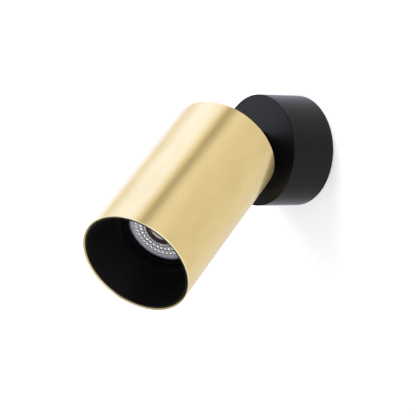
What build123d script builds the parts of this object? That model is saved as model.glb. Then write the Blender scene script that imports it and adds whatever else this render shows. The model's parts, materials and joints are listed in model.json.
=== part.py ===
from build123d import *
import os
from math import atan2, cos, degrees, radians, sqrt, tan

# Wall spotlight: a round canopy on the wall, a swivelling stem with a fork, and a tubular head that tilts.
# Sizes are in millimetres and angles in degrees. The origin is the centre of the back face, on the wall.
# +Z is up, +X is to the right of someone who faces the wall, and -Y points away from the wall.

# Aim of the head, as photographed
SWIVEL = 22.0  # turn of the stem about the canopy's axis, from straight down towards +X
TILT = 39.5  # angle between the head's axis and the canopy's axis
TILT_LIMIT = 48.0  # largest tilt either way from straight out

# Hexagonal sockets
SOCKET_SHARE = 0.65  # of a raised screw head's height
SOCKET_DEPTH = 1.0  # in a screw without a raised head

# Clearances
RUNNING = 0.05  # radial clearance of a shaft that turns in a hole
AXIAL_GAP = 0.05  # between flat faces that turn on each other
EASY_FIT = 0.1  # radial clearance of a screw or washer that doesn't turn
BESIDE = 0.3  # between pieces of different bodies that pass each other

# Wall canopy
CANOPY_D = 80.0
CANOPY_DEPTH = 37.0
CANOPY_WALL = 2.0
CANOPY_FRONT = 3.0
CANOPY_EDGE = 0.5

# Wall bracket
BRACKET_T = 2.0
BRACKET_CLEARANCE = 4.0  # from the bracket's edge to the canopy's inner wall
BEND_R = 1.2
TAB_W = 14.0
TAB_H = 14.0
TAB_GAP = 0.3  # from the tab's corners to the canopy's inner wall
SLOT_W = 4.6
SLOT_LENGTH = 10.0
SLOT_EDGE = 4.0  # from the end of a slot to the bracket's edge

# Canopy screws, through the canopy's side into the bracket's tabs
CANOPY_SCREW_D = 3.0
CANOPY_SCREW_HEAD_D = 5.6
CANOPY_SCREW_RISE = 8.0  # from the wall
CANOPY_SCREW_SINK = 0.2  # head below the canopy's surface
CANOPY_SCREW_TIP = 1.5  # beyond the tab
CANOPY_SCREW_DRIVE = 2.0

# Cable entry
ENTRY_RISE = 15.0  # above the canopy's axis
ENTRY_BORE = 8.0
ENTRY_HOLE = 14.0
GROMMET_D = 18.0
GROMMET_LIP = 2.5
GROMMET_SET = 0.2  # clear of the wall

# Earth point
EARTH_X = -16.0
EARTH_Y = 14.0
EARTH_SCREW_D = 4.0
EARTH_HEAD_D = 7.6
EARTH_HEAD_T = 2.6
EARTH_WASHER_D = 9.0
EARTH_WASHER_T = 0.8
EARTH_DRIVE = 3.0
LUG_D = 10.0
LUG_T = 0.8
LUG_BARREL_D = 3.0
LUG_BARREL_L = 6.0
SCREW_SET = 0.3  # tip of a bracket screw clear of the wall

# Terminal block
POLES = 3
POLE_PITCH = 8.5
BLOCK_H = 15.0
BLOCK_T = 13.0
BLOCK_DROP = 8.0  # top of the block below the canopy's axis
SLEEVE_D = 5.0
SLEEVE_BORE = 2.6
SLEEVE_RISE = 7.0  # above the bracket
CLAMP_SCREW_D = 3.4
CLAMP_SCREW_STEP = 7.0  # between the two clamp screws of a pole
CLAMP_SCREW_SINK = 1.0
CLAMP_DRIVE = 1.8
BLOCK_SCREW_D = 3.0
BLOCK_SCREW_HEAD_D = 5.0
BLOCK_SCREW_HEAD_T = 2.2
BLOCK_SCREW_DRIVE = 2.5

# Leads and cable
LEAD_D = 2.0
LEAD_SPREAD = 1.2  # each core's distance from the cable's axis
LEAD_GRIP = 5.0  # length held in a terminal sleeve
LEAD_STRAIGHT = 5.0  # straight run out of a terminal sleeve or a lug
LEAD_END_SHARE = 0.25  # share of the way from cable to lampholder that each straight end takes up
LEAD_ARC_SHARE = 0.45  # share of the shorter run that an arc takes up
CABLE_D = 5.0
CABLE_ROOM = 1.65  # between the cable and the yoke's ears
CABLE_BREAK = 3.2  # each cable's end from the tilt axis

# Swivel stack
SHANK_D = 10.0
SHANK_FLAT = 4.0  # flat's distance from the axis
SHANK_END = 1.5  # thread beyond the nut
STEM_BORE = 6.4
BUSH_WALL = 2.0
BUSH_FLANGE_D = 22.0
BUSH_FLANGE_T = 1.5
FACE_WASHER_T = 1.0
WASHER_D = 20.0
WASHER_T = 1.0
SPRING_T = 0.7
SPRING_H = 1.5
STOP_T = 1.5
FINGER_W = 4.0
NUT_AF = 17.0
NUT_T = 5.0
PEG_D = 3.0
PEG_SEAT = 1.5  # peg's depth in the canopy's front wall
PEG_GAP = 0.5  # from the peg to the washers, and from the finger's end past the peg

# Stem and fork
PIVOT_REACH = 33.0  # tilt axis in front of the canopy's face
FLANGE_T = 2.5
FLANGE_RIM = 2.0  # flange beyond the stem
FLANGE_EDGE = 0.4
FORK_EAR_T = 4.0
SWING_GAP = 1.0  # room round the parts that swing in the fork and the cap

# Yoke and tilt screws
YOKE_EAR_T = 3.0
YOKE_EAR_R = 7.0
YOKE_BASE_T = 3.0
YOKE_SCREW_EDGE = 3.0  # from a yoke screw's axis to the yoke's end
FRICTION_T = 0.8
TILT_SCREW_D = 6.0
TILT_HEAD_D = 9.0
TILT_HEAD_T = 1.9
TILT_HEAD_SEAT = 2.0  # depth of the seat for the head
TILT_DRIVE = 3.0

# Head tube
TUBE_D = 80.0
TUBE_LENGTH = 132.5
TUBE_WALL = 1.2
TUBE_OVERHANG = 2.3  # rear edge behind the tilt axis
TUBE_EDGE = 0.35
RIM_LAND = 0.5  # flat at the tube's front, outside the bevel
RIM_BEVEL = 0.8  # depth of the bevel inside the tube's front edge

# Rear cap of the head
CAP_INSET = 1.0
CAP_FACE = 2.5
CAP_WALL = 2.0
CAP_SKIRT = 14.0
CAP_FLOOR = 3.0
POCKET_GAP = 2.0  # from the stem at its tilt limit to the pocket's wall
GLAND_BARREL = 9.0
GLAND_D = 12.0
GLAND_LIP = 1.5
HEAD_SCREW_D = 3.0
HEAD_SCREW_HEAD_D = 5.4
HEAD_SCREW_HEAD_T = 1.8
HEAD_SCREW_DRIVE = 2.0

# Lamp frame and lampholder
FRAME_T = 1.5
FRAME_W = 24.0
FRAME_FOOT = 7.0
FRAME_HOLE = 13.0
HOLDER_D = 28.0
HOLDER_T = 16.0
HOLDER_SCREW_Y = 9.5
HOLDER_SCREW_TURN = 45.0  # turn of the holder screws from the yoke screws, clear of their heads
HOLDER_SCREW_GRIP = 8.0
KEY_LIP = 2.0
KEY_DEPTH = 11.5
KEY_CLEARANCE = 0.4
CONTACT_D = 4.0

# Lamp
LAMP_D = 50.0
LAMP_BODY = 46.2  # from the lamp's face to the end of its base, without the pins
LAMP_RECESS = 34.7  # lamp's face behind the tube's front edge
LAMP_RIM = 7.0
LAMP_BASE_D = 25.0
LAMP_BASE_T = 11.0
LAMP_SHOULDER = 1.0  # housing beyond the base
LAMP_TWIST = 20.0  # turn that frees the lamp's pins
PIN_PITCH = 10.0
PIN_NECK_D = 3.0
PIN_NECK_L = 2.5
PIN_HEAD_D = 5.0
PIN_HEAD_L = 4.5
FINS = 20
FIN_GROOVE_W = 2.0
FIN_GROOVE_DEPTH = 2.0
FIN_GROOVE_END = 2.0  # groove's end from the cone's end
LENS_D = 48.2
LENS_T = 3.0
LENS_LEDGE = 1.6
LENS_WELL_D = 19.0
LENS_WELL_DEPTH = 1.8
BOARD_D = 24.0
BOARD_T = 1.6
BOARD_RISE = 8.0  # above the lamp's base
CHIP_D = 9.0
CHIP_T = 1.0

# Anti-glare baffle
BAFFLE_T = 1.2
BAFFLE_EDGE = 0.35
THROAT_EDGE = 0.2
BAFFLE_SET = 0.8  # baffle's front edge behind the tube's
SKIRT_L = 5.0
CONE_DEPTH = 26.3  # narrow end of the cone behind the tube's front edge
THROAT_STEP = 0.5
NECK_GAP = 2.7  # from the lamp's rim to the neck's wall
NECK_LIP_T = 0.8
NECK_LIP_GAP = 0.4  # from the lamp to the neck's lip
LEAVES = 3
LEAF_T = 0.5
LEAF_W = 7.0
LEAF_ROOT = 1.0  # ends of the fixed stretch from the ends of the neck
LEAF_RUN = 8.0
LEAF_TIP_RUN = 3.0
LEAF_TIP_FALL = 1.5
LUGS = 3
SEAT_LUG_W = 9.0
SEAT_LUG_T = 1.2
SEAT_LUG_H = 3.0

# Canopy, bracket and swivel stack worked out from those sizes; z is measured out from the wall
canopy_inner_d = CANOPY_D - 2 * CANOPY_WALL
canopy_ceiling = CANOPY_DEPTH - CANOPY_FRONT
bracket_d = canopy_inner_d - 2 * BRACKET_CLEARANCE
tab_out = sqrt((canopy_inner_d / 2) ** 2 - (TAB_W / 2) ** 2) - TAB_GAP
slot_x = bracket_d / 2 - SLOT_EDGE - SLOT_LENGTH / 2
block_w = POLES * POLE_PITCH
block_y = -BLOCK_DROP - BLOCK_H / 2
block_front = BRACKET_T + BLOCK_T
sleeve_z = BRACKET_T + SLEEVE_RISE
pole_x = [POLE_PITCH * (i - (POLES - 1) / 2) for i in range(POLES)]
between_poles = [(a + b) / 2 for a, b in zip(pole_x, pole_x[1:])]
bush_d = SHANK_D + 2 * (RUNNING + BUSH_WALL)
bush_low = canopy_ceiling - BUSH_FLANGE_T
washer_low = bush_low - AXIAL_GAP - WASHER_T
spring_low = washer_low - SPRING_H
stop_low = spring_low - STOP_T
nut_low = stop_low - NUT_T
stem_end = nut_low - SHANK_END
loose_hole = SHANK_D + 2 * EASY_FIT
peg_r = max(BUSH_FLANGE_D, WASHER_D) / 2 + PEG_GAP + PEG_D / 2
finger_reach = peg_r + PEG_D / 2 + PEG_GAP
flange_low = CANOPY_DEPTH + AXIAL_GAP + FACE_WASHER_T
flange_high = flange_low + FLANGE_T
pivot = CANOPY_DEPTH + PIVOT_REACH

# Fork and yoke across the tilt axis
yoke_inner = CABLE_D / 2 + CABLE_ROOM
yoke_outer = yoke_inner + YOKE_EAR_T
fork_inner = yoke_outer + FRICTION_T + AXIAL_GAP
stem_d = 2 * (fork_inner + FORK_EAR_T)
flange_d = stem_d + 2 * FLANGE_RIM
ear_round = sqrt((stem_d / 2) ** 2 - fork_inner**2)
slot_depth = YOKE_EAR_R + SWING_GAP
tilt_seat_x = stem_d / 2 - TILT_HEAD_SEAT

# Head, with z measured from the tilt axis towards the front
tube_inner_d = TUBE_D - 2 * TUBE_WALL
front = TUBE_LENGTH - TUBE_OVERHANG
cap_rear = CAP_INSET - TUBE_OVERHANG
pocket_r = stem_d / 2 / cos(radians(TILT_LIMIT)) + TUBE_OVERHANG * tan(radians(TILT_LIMIT)) + POCKET_GAP
yoke_low = ear_round + SWING_GAP
yoke_screw_y = GLAND_D / 2 + BESIDE + HEAD_SCREW_HEAD_D / 2
yoke_half_length = yoke_screw_y + YOKE_SCREW_EDGE
floor_rear = yoke_low + YOKE_BASE_T
floor_front = floor_rear + CAP_FLOOR
lamp_face = front - LAMP_RECESS
lamp_end = lamp_face - LAMP_BODY
holder_front = lamp_end - BESIDE
holder_rear = holder_front - HOLDER_T
frame_x = HOLDER_D / 2
frame_screw_x = frame_x + FRAME_FOOT / 2
housing_low = lamp_end + LAMP_BASE_T
board_z = housing_low + BOARD_RISE
pin_end = lamp_end - PIN_NECK_L - PIN_HEAD_L
lip_z = front - BAFFLE_SET
skirt_low = lip_z - SKIRT_L
skirt_r = tube_inner_d / 2 - BESIDE
mouth_r = skirt_r - BAFFLE_T
neck_r = LAMP_D / 2 + NECK_GAP
neck_low = lamp_face + BESIDE
throat_z = front - CONE_DEPTH
throat_r = neck_r - THROAT_STEP

# Frames: the base's local z points out of the wall, and the head's local z points out of its mouth
BASE = Rot(90, 0, 0)
STEM = BASE * Rot(0, 0, SWIVEL)
HEAD = STEM * Pos(0, 0, pivot) * Rot(TILT, 0, 0)

UPWARD = (Align.CENTER, Align.CENTER, Align.MIN)
BOTH_SIDES = (-1, 1)


def rod(diameter, low, high):
    """Round bar on the local z axis."""
    return Pos(0, 0, low) * Cylinder(diameter / 2, high - low, align=UPWARD)


def ring(outer, inner, low, high):
    """Round bar with a round hole through it."""
    return rod(outer, low, high) - rod(inner, low, high)


def slab(x, y, z):
    """Block between a low and a high limit along each axis."""
    middle = [(low + high) / 2 for low, high in (x, y, z)]
    return Pos(*middle) * Box(*(high - low for low, high in (x, y, z)))


def turned(*corners):
    """Solid turned about the local z axis from (radius, height) corners."""
    return revolve(Plane.XZ * make_face(Polyline(*corners, close=True)), axis=Axis.Z)


def circles_by_height(solid):
    """Round edges of a turned solid, grouped by their height from the lowest up."""
    return solid.edges().filter_by(GeomType.CIRCLE).group_by(Axis.Z)


def hexagon(across, low, high):
    """Hexagonal bar on the local z axis."""
    return Pos(0, 0, low) * extrude(RegularPolygon(across / 2, 6, major_radius=False), high - low)


def across(diameter, low, high, side=1):
    """Round bar along the local x axis, or along -x when side is -1."""
    return Rot(0, 90 * side, 0) * rod(diameter, low, high)


def screw(head_d, head_t, shank_d, length, drive):
    """Screw with its head above z = 0, its shank below, and a hexagonal socket in the head."""
    socket = hexagon(drive, head_t * (1 - SOCKET_SHARE), head_t)
    return rod(head_d, 0, head_t) + rod(shank_d, -length, 0) - socket


def countersunk(head_d, shank_d, tip, top, grow=0.0):
    """Round shape of a countersunk screw between tip and top, or of its seat when it grows."""
    head_r = head_d / 2 + grow
    shank_r = shank_d / 2 + grow
    return turned((0, tip), (shank_r, tip), (shank_r, top - head_r + shank_r), (head_r, top), (0, top))


def lead(diameter, *points):
    """Round lead along straight runs, joined by arcs as large as the runs allow."""
    stops = [Vector(point) for point in points]
    radii = []
    for a, b, c in zip(stops, stops[1:], stops[2:]):
        turn = (b - a).get_angle(c - b)
        radii.append(LEAD_ARC_SHARE * min((b - a).length, (c - b).length) / tan(radians(turn / 2)))
    path = FilletPolyline(*stops, radius=radii)
    return sweep(Plane(path @ 0, z_dir=path % 0) * Circle(diameter / 2), path=path)


def group(solids):
    """Several separate solids in one node."""
    return Compound(list(solids))


# Canopy and what it holds

TOP_AND_BOTTOM = [Rot(0, 0, turn) * Pos(0, 0, CANOPY_SCREW_RISE) * Rot(-90, 0, 0) for turn in (0, 180)]
canopy_screw_top = CANOPY_D / 2 - CANOPY_SCREW_SINK
canopy_screw_tip = tab_out - BRACKET_T - CANOPY_SCREW_TIP


def make_canopy():
    shell = rod(CANOPY_D, 0, CANOPY_DEPTH)
    shell = fillet(shell.edges().sort_by(Axis.Z)[-1], CANOPY_EDGE)
    shell -= rod(canopy_inner_d, 0, canopy_ceiling)
    shell -= rod(bush_d, canopy_ceiling, CANOPY_DEPTH)
    shell -= Pos(0, peg_r, 0) * rod(PEG_D, canopy_ceiling, canopy_ceiling + PEG_SEAT)
    seat = countersunk(CANOPY_SCREW_HEAD_D, CANOPY_SCREW_D, tab_out, canopy_screw_top, EASY_FIT)
    seat += rod(CANOPY_SCREW_HEAD_D + 2 * EASY_FIT, canopy_screw_top, CANOPY_D)
    for place in TOP_AND_BOTTOM:
        shell -= place * seat
    return shell


def make_wall_bracket():
    plate = rod(bracket_d, 0, BRACKET_T)
    half = TAB_W / 2
    arm = slab((-half, half), (0, tab_out), (0, BRACKET_T))
    arm += slab((-half, half), (tab_out - BRACKET_T, tab_out), (0, TAB_H))
    bend = arm.edges().filter_by(Axis.X).group_by(Axis.Z)[0].sort_by(Axis.Y)[-1]
    arm = fillet(bend, BEND_R)
    arm -= Pos(0, 0, CANOPY_SCREW_RISE) * Rot(-90, 0, 0) * rod(CANOPY_SCREW_D, 0, tab_out)
    for turn in (0, 180):
        plate += Rot(0, 0, turn) * arm
    slot = extrude(SlotOverall(SLOT_LENGTH, SLOT_W), BRACKET_T)
    for side in BOTH_SIDES:
        plate -= Pos(side * slot_x, 0, 0) * slot
    plate -= Pos(0, ENTRY_RISE, 0) * rod(ENTRY_HOLE, 0, BRACKET_T)
    plate -= Pos(EARTH_X, EARTH_Y, 0) * rod(EARTH_SCREW_D, 0, BRACKET_T)
    for x in between_poles:
        plate -= Pos(x, block_y, 0) * rod(BLOCK_SCREW_D, 0, BRACKET_T)
    return plate


def make_canopy_screws():
    body = countersunk(CANOPY_SCREW_HEAD_D, CANOPY_SCREW_D, canopy_screw_tip, canopy_screw_top)
    body -= hexagon(CANOPY_SCREW_DRIVE, canopy_screw_top - SOCKET_DEPTH, canopy_screw_top)
    return group(place * body for place in TOP_AND_BOTTOM)


def make_entry_grommet():
    bore, hole, lip = ENTRY_BORE / 2, ENTRY_HOLE / 2, GROMMET_D / 2
    high = BRACKET_T + GROMMET_LIP
    collar = turned(
        (bore, GROMMET_SET),
        (hole, GROMMET_SET),
        (hole, BRACKET_T),
        (lip, BRACKET_T),
        (lip, high),
        (bore, high),
    )
    return Pos(0, ENTRY_RISE, 0) * collar


def make_stop_peg():
    return Pos(0, peg_r, 0) * rod(PEG_D, stop_low, canopy_ceiling + PEG_SEAT)


def make_swivel_bush():
    bush = rod(BUSH_FLANGE_D, bush_low, canopy_ceiling) + rod(bush_d, canopy_ceiling, CANOPY_DEPTH)
    return bush - rod(SHANK_D + 2 * RUNNING, bush_low, CANOPY_DEPTH)


# Earth point and terminal block

lug_top = BRACKET_T + LUG_T
earth_head_low = lug_top + EARTH_WASHER_T
earth_angle = degrees(atan2(-BLOCK_DROP - EARTH_Y, -EARTH_X))
EARTH_POINT = Pos(EARTH_X, EARTH_Y, 0)
EARTH_LUG = EARTH_POINT * Rot(0, 0, earth_angle)
lug_barrel_z = BRACKET_T + LUG_BARREL_D / 2 + EASY_FIT
lug_barrel_x = EARTH_WASHER_D / 2 + EASY_FIT


def make_earth_lug():
    lug = rod(LUG_D, BRACKET_T, lug_top)
    lug += Pos(0, 0, lug_barrel_z) * across(LUG_BARREL_D, lug_barrel_x, lug_barrel_x + LUG_BARREL_L)
    return EARTH_LUG * (lug - rod(EARTH_SCREW_D, BRACKET_T, lug_top))


def make_earth_washer():
    return EARTH_POINT * ring(EARTH_WASHER_D, EARTH_SCREW_D, lug_top, earth_head_low)


def make_earth_screw():
    body = screw(EARTH_HEAD_D, EARTH_HEAD_T, EARTH_SCREW_D, earth_head_low - SCREW_SET, EARTH_DRIVE)
    return EARTH_POINT * Pos(0, 0, earth_head_low) * body


CLAMP_PLACES = [
    Pos(x, block_y + side * CLAMP_SCREW_STEP / 2, 0) for x in pole_x for side in BOTH_SIDES
]
BLOCK_SCREW_PLACES = [Pos(x, block_y, 0) for x in between_poles]
SLEEVE_PLACES = [Pos(x, block_y, sleeve_z) * Rot(90, 0, 0) for x in pole_x]
block_screw_seat = block_front - BLOCK_SCREW_HEAD_T


def make_terminal_block():
    half_w, half_h = block_w / 2, BLOCK_H / 2
    block = slab((-half_w, half_w), (block_y - half_h, block_y + half_h), (BRACKET_T, block_front))
    for place in SLEEVE_PLACES:
        block -= place * rod(SLEEVE_D, -half_h, half_h)
    for place in CLAMP_PLACES:
        block -= place * rod(CLAMP_SCREW_D + 2 * EASY_FIT, sleeve_z, block_front)
    for place in BLOCK_SCREW_PLACES:
        block -= place * rod(BLOCK_SCREW_D + 2 * EASY_FIT, BRACKET_T, block_front)
        block -= place * rod(BLOCK_SCREW_HEAD_D + 2 * EASY_FIT, block_screw_seat, block_front)
    return block


def make_terminal_sleeves():
    sleeve = ring(SLEEVE_D, SLEEVE_BORE, -BLOCK_H / 2, BLOCK_H / 2)
    for side in BOTH_SIDES:
        hole = Pos(0, 0, side * CLAMP_SCREW_STEP / 2) * Rot(90, 0, 0)
        sleeve -= hole * rod(CLAMP_SCREW_D, -SLEEVE_D, 0)
    return group(place * sleeve for place in SLEEVE_PLACES)


def make_terminal_screws():
    high = block_front - CLAMP_SCREW_SINK
    body = rod(CLAMP_SCREW_D, sleeve_z + SLEEVE_BORE / 2, high)
    body -= hexagon(CLAMP_DRIVE, high - SOCKET_DEPTH, high)
    return group(place * body for place in CLAMP_PLACES)


def make_block_screws():
    length = block_screw_seat - SCREW_SET
    body = screw(BLOCK_SCREW_HEAD_D, BLOCK_SCREW_HEAD_T, BLOCK_SCREW_D, length, BLOCK_SCREW_DRIVE)
    return group(place * Pos(0, 0, block_screw_seat) * body for place in BLOCK_SCREW_PLACES)


# Leads from the terminal block to the stem

lead_in = -BLOCK_DROP - LEAD_GRIP
lead_out = -BLOCK_DROP + LEAD_STRAIGHT
lead_end = stem_end - BESIDE
lead_rise = (sleeve_z + lead_end) / 2


def make_supply_lead(side):
    """Core from an outer pole to the stem, brown on one side and blue on the other."""
    x = side * pole_x[-1]
    inner = side * LEAD_SPREAD
    return lead(
        LEAD_D,
        (x, lead_in, sleeve_z),
        (x, lead_out, sleeve_z),
        (inner, 0, lead_rise),
        (inner, 0, lead_end),
    )


def make_earth_lead():
    start = (EARTH_LUG * Pos(lug_barrel_x + LUG_BARREL_L, 0, lug_barrel_z)).position
    on = (EARTH_LUG * Pos(lug_barrel_x + LUG_BARREL_L + LEAD_STRAIGHT, 0, lug_barrel_z)).position
    return lead(
        LEAD_D,
        start,
        on,
        (0, lead_out, sleeve_z),
        (0, lead_in, sleeve_z),
    )


# Swivel stem and its stack


def shank_form(diameter, low, high, flat):
    """Round shank with a flat along one side."""
    return rod(diameter, low, high) - slab((flat, diameter), (-diameter, diameter), (low, high))


def make_swivel_stem():
    stem = rod(flange_d, flange_low, flange_high)
    stem = fillet(stem.edges().sort_by(Axis.Z)[-1], FLANGE_EDGE)
    stem += rod(stem_d, flange_high, pivot)
    knuckle = rod(stem_d, pivot, pivot + ear_round)
    stem += knuckle & (Pos(0, 0, pivot) * across(2 * ear_round, -stem_d, stem_d))
    stem += rod(SHANK_D, spring_low, flange_low)
    stem += shank_form(SHANK_D, stem_end, spring_low, SHANK_FLAT)
    stem -= slab((-fork_inner, fork_inner), (-stem_d, stem_d), (pivot - slot_depth, pivot + stem_d))
    stem -= rod(STEM_BORE, stem_end, pivot)
    for side in BOTH_SIDES:
        stem -= Pos(0, 0, pivot) * across(TILT_SCREW_D + 2 * RUNNING, 0, stem_d, side)
        stem -= Pos(0, 0, pivot) * across(TILT_HEAD_D + 2 * BESIDE, tilt_seat_x, stem_d, side)
    return stem


def make_face_washer():
    return ring(flange_d, loose_hole, CANOPY_DEPTH + AXIAL_GAP, flange_low)


def make_inner_washer():
    return ring(WASHER_D, loose_hole, washer_low, washer_low + WASHER_T)


def make_disc_spring():
    inner, outer = loose_hole / 2, WASHER_D / 2
    return turned(
        (inner, spring_low),
        (outer, washer_low - SPRING_T),
        (outer, washer_low),
        (inner, spring_low + SPRING_T),
    )


def make_stop_washer():
    disc = rod(WASHER_D, stop_low, spring_low)
    half = FINGER_W / 2
    disc += slab((-half, half), (-finger_reach, 0), (stop_low, spring_low))
    return disc - shank_form(loose_hole, stop_low, spring_low, SHANK_FLAT + EASY_FIT)


def make_swivel_nut():
    return hexagon(NUT_AF, nut_low, stop_low) - rod(SHANK_D, nut_low, stop_low)


def make_stem_cable():
    return rod(CABLE_D, stem_end, pivot - CABLE_BREAK)


# Yoke of the head and its tilt screws

YOKE_SCREW_PLACES = [Pos(0, side * yoke_screw_y, floor_front) for side in BOTH_SIDES]


def make_yoke():
    half = yoke_half_length
    yoke = slab((-yoke_outer, yoke_outer), (-half, half), (yoke_low, floor_rear))
    for side in BOTH_SIDES:
        limits = sorted((side * yoke_inner, side * yoke_outer))
        yoke += slab(limits, (-YOKE_EAR_R, YOKE_EAR_R), (0, yoke_low))
        yoke += across(2 * YOKE_EAR_R, yoke_inner, yoke_outer, side)
        yoke -= across(TILT_SCREW_D, 0, yoke_outer, side)
    yoke -= rod(CABLE_D + 2 * EASY_FIT, yoke_low, floor_rear)
    for place in YOKE_SCREW_PLACES:
        yoke -= place * rod(HEAD_SCREW_D, -floor_front, 0)
    return yoke


def make_tilt_washers():
    washer = ring(2 * YOKE_EAR_R, TILT_SCREW_D + 2 * EASY_FIT, yoke_outer, yoke_outer + FRICTION_T)
    return group(Rot(0, 90 * side, 0) * washer for side in BOTH_SIDES)


def make_tilt_screws():
    head_low = tilt_seat_x + AXIAL_GAP
    body = screw(TILT_HEAD_D, TILT_HEAD_T, TILT_SCREW_D, head_low - yoke_inner, TILT_DRIVE)
    return group(Rot(0, 90 * side, 0) * Pos(0, 0, head_low) * body for side in BOTH_SIDES)


# Head tube and rear cap

FRAME_SCREW_PLACES = [Pos(side * frame_screw_x, 0, 0) for side in BOTH_SIDES]


def make_head_tube():
    outer, inner = TUBE_D / 2, tube_inner_d / 2
    tube = turned(
        (inner, -TUBE_OVERHANG),
        (outer, -TUBE_OVERHANG),
        (outer, front),
        (outer - RIM_LAND, front),
        (inner, front - RIM_BEVEL),
    )
    rims = circles_by_height(tube)
    mouth = rims[-1].sort_by(SortBy.RADIUS)[-1:]
    return fillet(rims[0] + mouth, TUBE_EDGE)


def make_rear_cap():
    outer, skirt = tube_inner_d / 2, tube_inner_d / 2 - CAP_WALL
    sleeve = pocket_r + CAP_WALL
    cap = turned(
        (pocket_r, cap_rear),
        (outer, cap_rear),
        (outer, cap_rear + CAP_SKIRT),
        (skirt, cap_rear + CAP_SKIRT),
        (skirt, cap_rear + CAP_FACE),
        (sleeve, cap_rear + CAP_FACE),
        (sleeve, floor_front),
        (GLAND_BARREL / 2, floor_front),
        (GLAND_BARREL / 2, floor_rear),
        (pocket_r, floor_rear),
    )
    for place in YOKE_SCREW_PLACES:
        cap -= place * rod(HEAD_SCREW_D + 2 * EASY_FIT, -CAP_FLOOR, 0)
    for place in FRAME_SCREW_PLACES:
        cap -= place * rod(HEAD_SCREW_D, floor_rear, floor_front)
    return cap


def make_cable_gland():
    high = floor_front + GLAND_LIP
    gland = rod(GLAND_BARREL, floor_rear, floor_front) + rod(GLAND_D, floor_front, high)
    return gland - rod(CABLE_D, floor_rear, high)


def make_yoke_screws():
    length = CAP_FLOOR + YOKE_BASE_T
    body = screw(HEAD_SCREW_HEAD_D, HEAD_SCREW_HEAD_T, HEAD_SCREW_D, length, HEAD_SCREW_DRIVE)
    return group(place * body for place in YOKE_SCREW_PLACES)


# Lamp frame, lampholder and their wiring

HOLDER_SCREW_PLACES = [
    Rot(0, 0, HOLDER_SCREW_TURN) * Pos(0, side * HOLDER_SCREW_Y, 0) for side in BOTH_SIDES
]
PIN_PLACES = [Pos(side * PIN_PITCH / 2, 0, 0) for side in BOTH_SIDES]
bridge_low = holder_rear - FRAME_T
chamber_low = holder_front - KEY_DEPTH
foot_high = floor_front + FRAME_T


def make_lamp_frame():
    half = FRAME_W / 2
    frame = slab((-frame_x, frame_x), (-half, half), (bridge_low, holder_rear))
    for side in BOTH_SIDES:
        leg = sorted((side * frame_x, side * (frame_x - FRAME_T)))
        foot = sorted((side * (frame_x - FRAME_T), side * (frame_x + FRAME_FOOT)))
        frame += slab(leg, (-half, half), (floor_front, holder_rear))
        frame += slab(foot, (-half, half), (floor_front, foot_high))
    frame -= rod(FRAME_HOLE, bridge_low, holder_rear)
    for place in FRAME_SCREW_PLACES:
        frame -= place * rod(HEAD_SCREW_D + 2 * EASY_FIT, floor_front, foot_high)
    for place in HOLDER_SCREW_PLACES:
        frame -= place * rod(HEAD_SCREW_D + 2 * EASY_FIT, bridge_low, holder_rear)
    return frame


def make_frame_screws():
    length = FRAME_T + CAP_FLOOR
    body = screw(HEAD_SCREW_HEAD_D, HEAD_SCREW_HEAD_T, HEAD_SCREW_D, length, HEAD_SCREW_DRIVE)
    return group(place * Pos(0, 0, foot_high) * body for place in FRAME_SCREW_PLACES)


def make_lampholder():
    holder = rod(HOLDER_D, holder_rear, holder_front)
    lip_low = holder_front - KEY_LIP
    entry_d = PIN_HEAD_D + 2 * KEY_CLEARANCE
    neck_d = PIN_NECK_D + 2 * KEY_CLEARANCE
    for angle in (0, 180):
        arc = CenterArc((0, 0), PIN_PITCH / 2, angle, LAMP_TWIST)
        holder -= Pos(0, 0, chamber_low) * extrude(SlotArc(arc, entry_d), lip_low - chamber_low)
        holder -= Pos(0, 0, lip_low) * extrude(SlotArc(arc, neck_d), KEY_LIP)
        entry = Rot(0, 0, angle + LAMP_TWIST) * Pos(PIN_PITCH / 2, 0, 0)
        holder -= entry * rod(entry_d, lip_low, holder_front)
    for place in PIN_PLACES:
        holder -= place * rod(LEAD_D + 2 * EASY_FIT, holder_rear, chamber_low)
    for place in HOLDER_SCREW_PLACES:
        holder -= place * rod(HEAD_SCREW_D, holder_rear, holder_rear + HOLDER_SCREW_GRIP)
    return holder


def make_holder_screws():
    length = FRAME_T + HOLDER_SCREW_GRIP
    body = screw(HEAD_SCREW_HEAD_D, HEAD_SCREW_HEAD_T, HEAD_SCREW_D, length, HEAD_SCREW_DRIVE)
    return group(place * Pos(0, 0, bridge_low) * Rot(180, 0, 0) * body for place in HOLDER_SCREW_PLACES)


def make_holder_contacts():
    contact = rod(CONTACT_D, chamber_low, pin_end - BESIDE)
    return group(place * contact for place in PIN_PLACES)


sheath_end = (floor_front + GLAND_LIP + bridge_low) / 2


def make_head_cable():
    return rod(CABLE_D, CABLE_BREAK, sheath_end)


def make_holder_leads():
    run = LEAD_END_SHARE * (holder_rear - sheath_end)
    cores = []
    for side in BOTH_SIDES:
        inner, outer = side * LEAD_SPREAD, side * PIN_PITCH / 2
        cores.append(
            lead(
                LEAD_D,
                (inner, 0, sheath_end),
                (inner, 0, sheath_end + run),
                (outer, 0, holder_rear - run),
                (outer, 0, chamber_low),
            )
        )
    return group(cores)


# Lamp

lamp_r = LAMP_D / 2
housing_r = LAMP_BASE_D / 2 + LAMP_SHOULDER
cone_high = lamp_face - LAMP_RIM
cone_angle = degrees(atan2(lamp_r - housing_r, cone_high - housing_low))
cone_length = sqrt((lamp_r - housing_r) ** 2 + (cone_high - housing_low) ** 2)


def make_lamp_base():
    return rod(LAMP_BASE_D, lamp_end, housing_low)


def make_lamp_pins():
    neck_end = lamp_end - PIN_NECK_L
    pin = rod(PIN_NECK_D, neck_end, lamp_end) + rod(PIN_HEAD_D, pin_end, neck_end)
    return group(place * pin for place in PIN_PLACES)


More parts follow.
